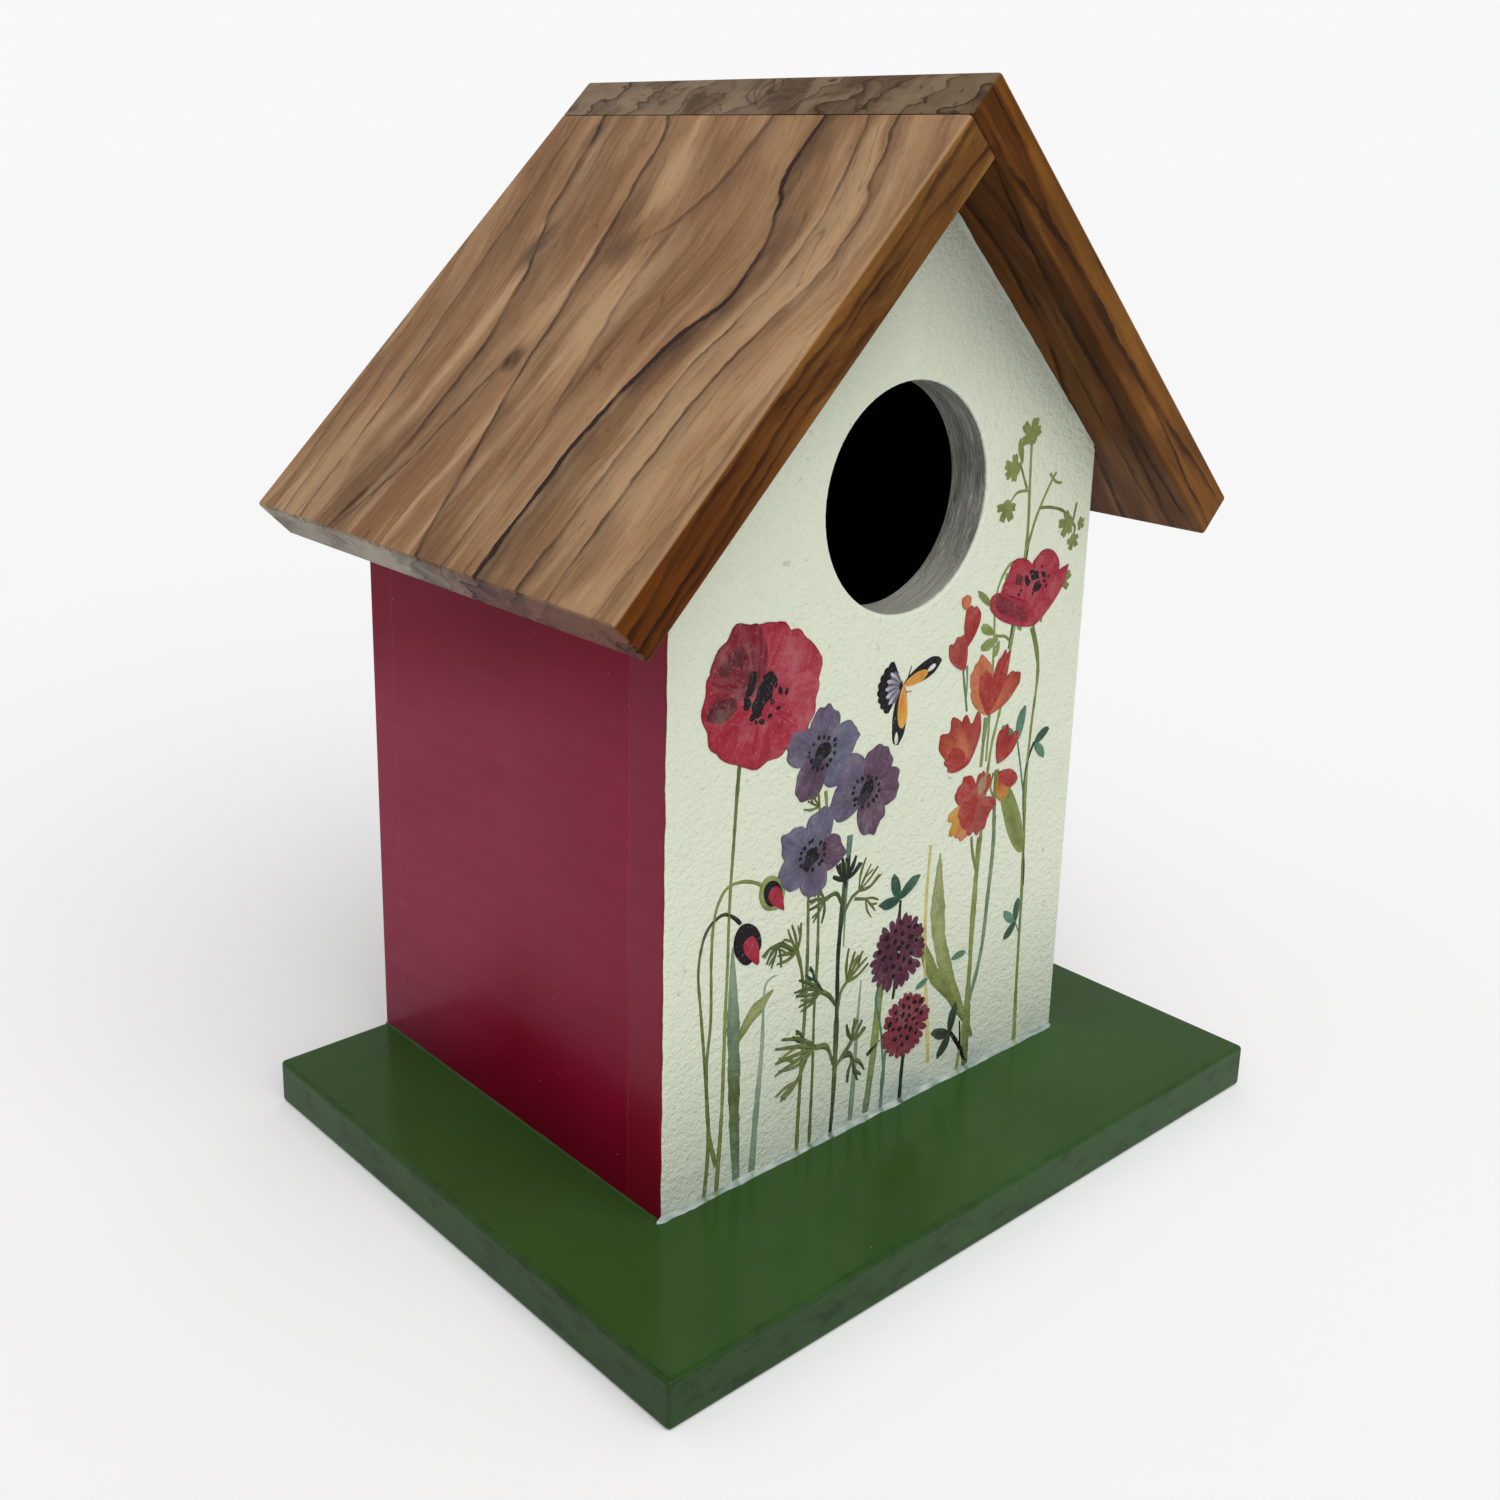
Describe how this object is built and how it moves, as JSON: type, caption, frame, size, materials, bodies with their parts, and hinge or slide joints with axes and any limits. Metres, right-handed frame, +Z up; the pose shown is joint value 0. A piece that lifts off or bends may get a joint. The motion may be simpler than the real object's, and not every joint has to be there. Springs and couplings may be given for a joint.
{
  "type": "birdhouse",
  "caption": "Free-standing gabled birdhouse: wide base board, doweled walls and board roof, round entrance hole, swivelling clean-out cover at the back.",
  "frame": {"origin": "centre of the footprint's bounding box, on the underside of the base board", "axes": "+Z up; the front panel with the entrance hole faces -Y; +X to the right seen from the front"},
  "size_m": [0.209, 0.1723, 0.2663],
  "materials": {
    "green_paint": "dark green satin-gloss paint on wood",
    "cream_paint": "matt pale cream paint, finely stippled",
    "crimson_paint": "crimson gloss paint on wood",
    "varnished_teak": "teak with dark grain under satin varnish",
    "beech_dowel": "bare beech",
    "zinc_steel": "bright zinc-plated steel",
    "white_sealant": "white acrylic sealant"
  },
  "bodies": {
    "house": {"base_board": "green_paint", "front_panel": "cream_paint", "back_panel": "crimson_paint", "left_wall": "crimson_paint", "right_wall": "crimson_paint", "left_roof_board": "varnished_teak", "right_roof_board": "varnished_teak", "cover_screw": "zinc_steel", "cover_washer": "zinc_steel", "base_screw_1": "zinc_steel", "base_screw_2": "zinc_steel", "base_screw_3": "zinc_steel", "base_screw_4": "zinc_steel", "base_screw_5": "zinc_steel", "base_screw_6": "zinc_steel", "roof_dowel_left_front_upper": "beech_dowel", "roof_dowel_left_front_lower": "beech_dowel", "roof_dowel_left_back_upper": "beech_dowel", "roof_dowel_left_back_lower": "beech_dowel", "roof_dowel_right_front_upper": "beech_dowel", "roof_dowel_right_front_lower": "beech_dowel", "roof_dowel_right_back_upper": "beech_dowel", "roof_dowel_right_back_lower": "beech_dowel", "ridge_dowel_1": "beech_dowel", "ridge_dowel_2": "beech_dowel", "ridge_dowel_3": "beech_dowel", "wall_dowel_left_front_lower": "beech_dowel", "wall_dowel_left_front_upper": "beech_dowel", "wall_dowel_left_back_lower": "beech_dowel", "wall_dowel_left_back_upper": "beech_dowel", "wall_dowel_right_front_lower": "beech_dowel", "wall_dowel_right_front_upper": "beech_dowel", "wall_dowel_right_back_lower": "beech_dowel", "wall_dowel_right_back_upper": "beech_dowel", "bead_front_foot": "white_sealant", "bead_left_gable": "white_sealant", "bead_right_gable": "white_sealant", "bead_left_foot": "green_paint", "bead_right_foot": "green_paint"},
    "cover": {"cleanout_cover": "varnished_teak"}
  },
  "joints": [
    {"name": "cover_swivel", "type": "hinge", "parent": "house", "child": "cover", "pos_m": [0, 0.0796, 0.096], "axis": [0, 1, 0], "continuous": true}
  ]
}
